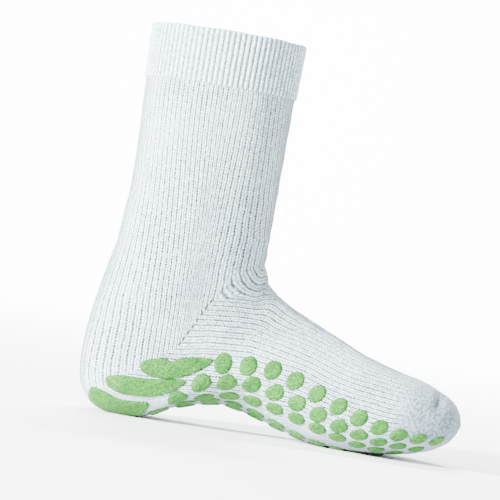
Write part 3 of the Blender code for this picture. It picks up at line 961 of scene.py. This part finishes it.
def halfWayTurn(along, turn, side):
    spots = [fromCore(along, turn * step / 40, side)[0] for step in range(41)]
    travel = np.cumsum([0] + [(b - a).length for a, b in zip(spots, spots[1:])])
    return turn * float(np.interp(travel[-1] / 2, travel, np.arange(41))) / 40


def dotSpots():
    spots = []
    for name, (start, *heights) in dotRows.items():
        heights = heights or dotRows["low"][1:]
        lean, oval = dotLeans[name]
        for side in ((-1,) if name == "middle" else (-1, 1)):
            for index in range(grips["dotCount"]):
                share = index / (grips["dotCount"] - 1)
                run = share + grips["crowding"] * share * (1 - share)
                along = (start + grips["reach"] * run) * sock["footLength"]
                turn = 0.0
                if name != "middle":
                    height = smoothThrough(heights, share) * sock["bendHeight"]
                    turn = turnAtHeight(along, height, side)
                if name == "inner":
                    turn = halfWayTurn(along, turn, side)
                spot, facing = fromCore(along, turn, side)
                size = grips["heelDotSize"] + (grips["toeDotSize"] - grips["heelDotSize"]) * share
                spots.append((spot, facing, (lean[0] + leanTowardsToe * share, *lean[1:]), size, oval))
    return spots


def pressedDots():
    # Geometry Nodes: a ringed disc on every point, pressed on the knit and domed
    tree = drawIn(bpy.data.node_groups.new("pressedDots", "GeometryNodeTree"))
    for label, kind in (("Geometry", "NodeSocketGeometry"), ("Skin", "NodeSocketObject"),
                        ("Print Depth", "NodeSocketFloat"), ("Outline Wander", "NodeSocketFloat"),
                        ("Corners", "NodeSocketInt"), ("Rings", "NodeSocketInt"),
                        ("Finish", "NodeSocketMaterial")):
        tree.interface.new_socket(label, in_out="INPUT", socket_type=kind)
    tree.interface.new_socket("Geometry", in_out="OUTPUT", socket_type="NodeSocketGeometry")
    given, made = tree.nodes.new("NodeGroupInput").outputs, tree.nodes.new("NodeGroupOutput").inputs

    def read(label, kind="FLOAT_VECTOR"):
        found = fedNode("GeometryNodeInputNamedAttribute", {"Name": label}, data_type=kind)
        return found.outputs["Attribute"]

    def keep(geometry, label, kind, value):
        inputs = {"Geometry": geometry, "Name": label, "Value": value}
        stored = fedNode("GeometryNodeStoreNamedAttribute", inputs, data_type=kind, domain="POINT")
        return stored.outputs["Geometry"]

    def vector(operation, *values):
        return fedNode("ShaderNodeVectorMath", dict(enumerate(values)), operation=operation).outputs

    def scaled(first, scale):
        return fedNode("ShaderNodeVectorMath", {0: first, "Scale": scale}, operation="SCALE").outputs[0]

    position = addNode("GeometryNodeInputPosition").outputs[0]
    disc = fedNode("GeometryNodeMeshCone", {
        "Vertices": given["Corners"], "Side Segments": given["Rings"],
        "Radius Top": 0.0, "Radius Bottom": 1.0, "Depth": 0.0001}, fill_type="NONE")
    ringed = keep(disc.outputs["Mesh"], "reach", "FLOAT", vector("LENGTH", position)["Value"])
    points = keep(given["Geometry"], "middle", "FLOAT_VECTOR", position)
    upright = fedNode("FunctionNodeAlignRotationToVector", {"Vector": read("facing")}, axis="Z")
    turned = fedNode("FunctionNodeAlignRotationToVector", {
        "Rotation": upright.outputs[0], "Vector": read("lean")}, axis="X", pivot_axis="Z")
    oval = read("oval", "FLOAT")
    stretch = fedNode("ShaderNodeCombineXYZ", {0: oval, 1: calc("DIVIDE", 1.0, oval), 2: 1.0})
    sown = fedNode("GeometryNodeInstanceOnPoints", {
        "Points": points, "Instance": ringed, "Rotation": turned.outputs[0],
        "Scale": scaled(stretch.outputs[0], times(read("size", "FLOAT"), 0.5))})
    real = fedNode("GeometryNodeRealizeInstances", {"Geometry": sown.outputs[0]})
    # each outline wanders a little from round
    middle, facing, reach = read("middle"), read("facing"), read("reach", "FLOAT")
    wander = minus(noise(position, 130, 1.0), 0.5)
    wander = times(times(wander, given["Outline Wander"]), reach)
    arm = vector("SUBTRACT", position, middle)["Vector"]
    spread = vector("ADD", middle, scaled(arm, plus(wander, 1.0)))["Vector"]
    skin = fedNode("GeometryNodeObjectInfo", {"Object": given["Skin"]}, transform_space="ORIGINAL")
    ray = fedNode("GeometryNodeRaycast", {
        "Target Geometry": skin.outputs["Geometry"],
        "Source Position": vector("ADD", spread, scaled(facing, grips["cast"]))["Vector"],
        "Ray Direction": scaled(facing, -1.0), "Ray Length": 2 * grips["cast"]})
    dome = minus(1.0, calc("POWER", reach, 5.0))
    dome = calc("SQRT", calc("MAXIMUM", dome, 0.0))
    rise = times(dome, plus(given["Print Depth"], grips["sink"]))
    risen = scaled(ray.outputs["Hit Normal"], minus(rise, grips["sink"]))
    raisedPlace = vector("ADD", ray.outputs["Hit Position"], risen)["Vector"]
    aboveFloor = vector("MAXIMUM", raisedPlace, (-1.0, -1.0, 0.0))["Vector"]
    placed = fedNode("GeometryNodeSetPosition", {"Geometry": real.outputs[0], "Position": aboveFloor})
    soft = fedNode("GeometryNodeSetShadeSmooth", {"Geometry": placed.outputs[0]})
    finish = fedNode("GeometryNodeSetMaterial", {
        "Geometry": soft.outputs[0], "Material": given["Finish"]})
    feed(made["Geometry"], finish.outputs[0])
    return tree


def setInputs(modifier, tree, values):
    for item in tree.interface.items_tree:
        if item.item_type == "SOCKET" and item.in_out == "INPUT" and item.name in values:
            modifier[item.identifier] = values[item.name]


def makeDots():
    places, facings, leans, sizes, ovals = zip(*dotSpots())
    seed = meshPiece("dot_seed", places, [], {"size": sizes, "oval": ovals})
    for label, ways in (("facing", facings), ("lean", leans)):
        layer = seed.data.attributes.new(label, "FLOAT_VECTOR", "POINT")
        layer.data.foreach_set("vector", np.array(ways).ravel())
    tree = pressedDots()
    modifier = seed.modifiers.new("dots", "NODES")
    modifier.node_group = tree
    setInputs(modifier, tree, {
        "Skin": sockPiece, "Print Depth": grips["depth"], "Outline Wander": grips["outlineWander"],
        "Corners": grips["corners"], "Rings": grips["rings"], "Finish": printMaterial})
    bpy.context.view_layer.update()
    mesh = bpy.data.meshes.new_from_object(seed.evaluated_get(bpy.context.evaluated_depsgraph_get()))
    bpy.data.objects.remove(seed, do_unlink=True)
    piece = bpy.data.objects.new("sole_dots", mesh)
    scene.collection.objects.link(piece)
    return piece


dotsPiece = makeDots()
print("dots:", len(dotsPiece.data.polygons), "faces")


# Leaf-shaped heel pads: along the foot, lower and upper edge as shares (aside under the sole)

padShapes = {
    "upper": ((0.162, 0.322, 0.388), (0.195, 0.292, 0.416), (0.250, 0.302, 0.446),
              (0.300, 0.362, 0.468), (0.342, 0.444, 0.478)),
    "middle": ((0.078, 0.200, 0.245), (0.115, 0.152, 0.272), (0.180, 0.150, 0.277),
               (0.235, 0.190, 0.295), (0.283, 0.280, 0.308)),
    "lower": ((0.040, 0.130, 0.165), (0.075, 0.070, 0.152), (0.120, 0.060, 0.114),
              (0.165, 0.130, 0.114), (0.199, 0.340, 0.124)),
}
padLook = {
    "steps": 72,
    "lines": 26,
    "rounding": 1.6 * mm,
    "notchAt": 61.5 * mm,
    "notchDepth": 2.6 * mm,
    "notchReach": 3.0 * mm,
    "frayDepth": 0.22 * mm,    # the upper edge follows the loops
    "frayPitch": 2.3 * mm,
    "bluntEnd": 2.4 * mm,
    "rimWidth": 2.2 * mm,      # the darker rim
}


def padGrid(name, stops, side):
    alongs, lows, highs = zip(*stops)
    rows, edges = [], []
    for step in range(padLook["steps"]):
        share = (1 - math.cos(math.pi * step / (padLook["steps"] - 1))) / 2
        along = smoothThrough(alongs, share) * sock["footLength"]
        high = smoothThrough(highs, share) * sock["bendHeight"]
        if name == "upper":
            high -= float(bump(padLook["notchDepth"], padLook["notchReach"], along - padLook["notchAt"]))
        high += padLook["frayDepth"] * math.sin(2 * math.pi * along / padLook["frayPitch"])
        highTurn = turnAtHeight(along, high, side)
        low = smoothThrough(lows, share)
        if name == "lower":
            lowTurn = turnUnder(along, low * sock["heelWidth"], side)
        else:
            lowTurn = turnAtHeight(along, low * sock["bendHeight"], side)
        nearEnd = min(along - alongs[0] * sock["footLength"], alongs[-1] * sock["footLength"] - along)
        tuck = 1 - 0.5 * (1 - min(nearEnd / padLook["bluntEnd"], 1)) ** 2
        centre, half = (lowTurn + highTurn) / 2, (highTurn - lowTurn) / 2 * tuck
        line = [fromCore(along, centre + half * (2 * part / (padLook["lines"] - 1) - 1), side)
                for part in range(padLook["lines"])]
        rows.append(line)
        edges.append(max(nearEnd, 0))
    return rows, edges


def makePads():
    points, faces, reaches = [], [], []
    for name, stops in padShapes.items():
        for side in (-1, 1):
            rows, ends = padGrid(name, stops, side)
            first = len(points)
            for line, nearEnd in zip(rows, ends):
                travel = np.cumsum([0] + [(b[0] - a[0]).length for a, b in zip(line, line[1:])])
                for (spot, facing), run in zip(line, travel):
                    edge = min(run, travel[-1] - run, nearEnd)
                    inside = 1 - min(edge / padLook["rounding"], 1)
                    dome = math.sqrt(max(1 - inside ** 2.5, 0))
                    place = spot + facing * ((grips["depth"] + grips["sink"]) * dome - grips["sink"])
                    points.append((place.x, place.y, max(place.z, 0)))
                    reaches.append(1 - 0.3 * min(edge / padLook["rimWidth"], 1) ** 0.7)
            faces += gridFaces(padLook["steps"], padLook["lines"], first, False, side > 0)
    return meshPiece("heel_pads", points, faces, {"reach": reaches}, printMaterial)


padsPiece = makePads()
print("pads:", len(padsPiece.data.polygons), "faces")

slots = {"knit": (sockPiece, cuffPiece), "print": (dotsPiece, padsPiece)}
for slotName, pieces in slots.items():
    for piece in pieces:
        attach(piece, "root")
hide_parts("sock_body")
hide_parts("sock_body")
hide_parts(*[name for name in frame["nodes"] if name.startswith("dot_")])
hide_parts(*[name for name in frame["nodes"] if name.startswith("heel_pad_")])


# Studio: floor that curves up into a wall, soft lights and the camera

studio = {
    "floorWidth": 9.0,
    "wallAt": 3.2,
    "curve": 0.8,
    "wallHeight": 3.0,
    "front": -4.5,
    "floorWhite": (0.93, 0.93, 0.93, 1),
    "sky": (0.86, 0.94, 1.0, 1),
    "skyStrength": 0.7,
}


def makeFloor():
    turn = np.linspace(0, math.pi / 2, 17)
    profile = [(studio["front"], 0.0)]
    curve = studio["curve"]
    profile += [(studio["wallAt"] - curve + curve * math.sin(a), curve - curve * math.cos(a))
                for a in turn]
    profile.append((studio["wallAt"], studio["wallHeight"]))
    points, faces = [], []
    for y, z in profile:
        points += [(-studio["floorWidth"] / 2, y, z), (studio["floorWidth"] / 2, y, z)]
    for i in range(len(profile) - 1):
        faces.append([2 * i, 2 * i + 1, 2 * i + 3, 2 * i + 2])
    mesh = bpy.data.meshes.new("studio_floor")
    mesh.from_pydata(points, [], faces)
    mesh.shade_smooth()
    made, shader = newMaterial("studio_white", 0.9)
    shader.inputs["Base Color"].default_value = studio["floorWhite"]
    mesh.materials.append(made)
    floor = bpy.data.objects.new("studio_floor", mesh)
    scene.collection.objects.link(floor)


def addLight(name, place, aim, size, power, tint):
    light = bpy.data.lights.new(name, "AREA")
    light.shape = "DISK"
    light.size, light.energy, light.color = size, power, tint
    lamp = bpy.data.objects.new(name, light)
    lamp.location = place
    lamp.rotation_euler = (Vector(aim) - Vector(place)).to_track_quat("-Z", "Y").to_euler()
    scene.collection.objects.link(lamp)


makeFloor()
# name, place, what it aims at, width, power and colour
addLight("key_light", (-2.2, -1.5, 0.9), (0, 0, 0.1), 0.5, 720, (1.0, 0.995, 0.98))
addLight("wall_light", (0, 2.0, 2.6), (0, 3.2, 0.5), 1.2, 800, (1.0, 1.0, 1.0))
addLight("floor_light", (-0.5, -1.5, 2.4), (0.1, -0.8, 0), 1.4, 90, (1.0, 1.0, 1.0))

world = bpy.data.worlds.new("studio_world")
world.use_nodes = True
sky = world.node_tree.nodes["Background"].inputs
sky["Color"].default_value, sky["Strength"].default_value = studio["sky"], studio["skyStrength"]
scene.world = world

view = {
    "middle": (-0.028, 0.0, 0.120),   # what the photograph's middle looks at
    "distance": 1.9,
    "widthSeen": 0.330,
    "sensor": 36,
    "roll": 9.2,                     # the foot runs down to the right
}
camera = bpy.data.objects.new("camera", bpy.data.cameras.new("camera"))
camera.data.sensor_width = view["sensor"]
camera.data.lens = view["sensor"] * view["distance"] / view["widthSeen"]
camera.data.clip_end = 30
roll = math.radians(view["roll"])
camera.matrix_world = Matrix((
    (math.cos(roll), -math.sin(roll), 0, view["middle"][0]),
    (0, 0, -1, view["middle"][1] - view["distance"]),
    (math.sin(roll), math.cos(roll), 0, view["middle"][2]),
    (0, 0, 0, 1)))
scene.collection.objects.link(camera)
scene.camera = camera
print("studio ready")
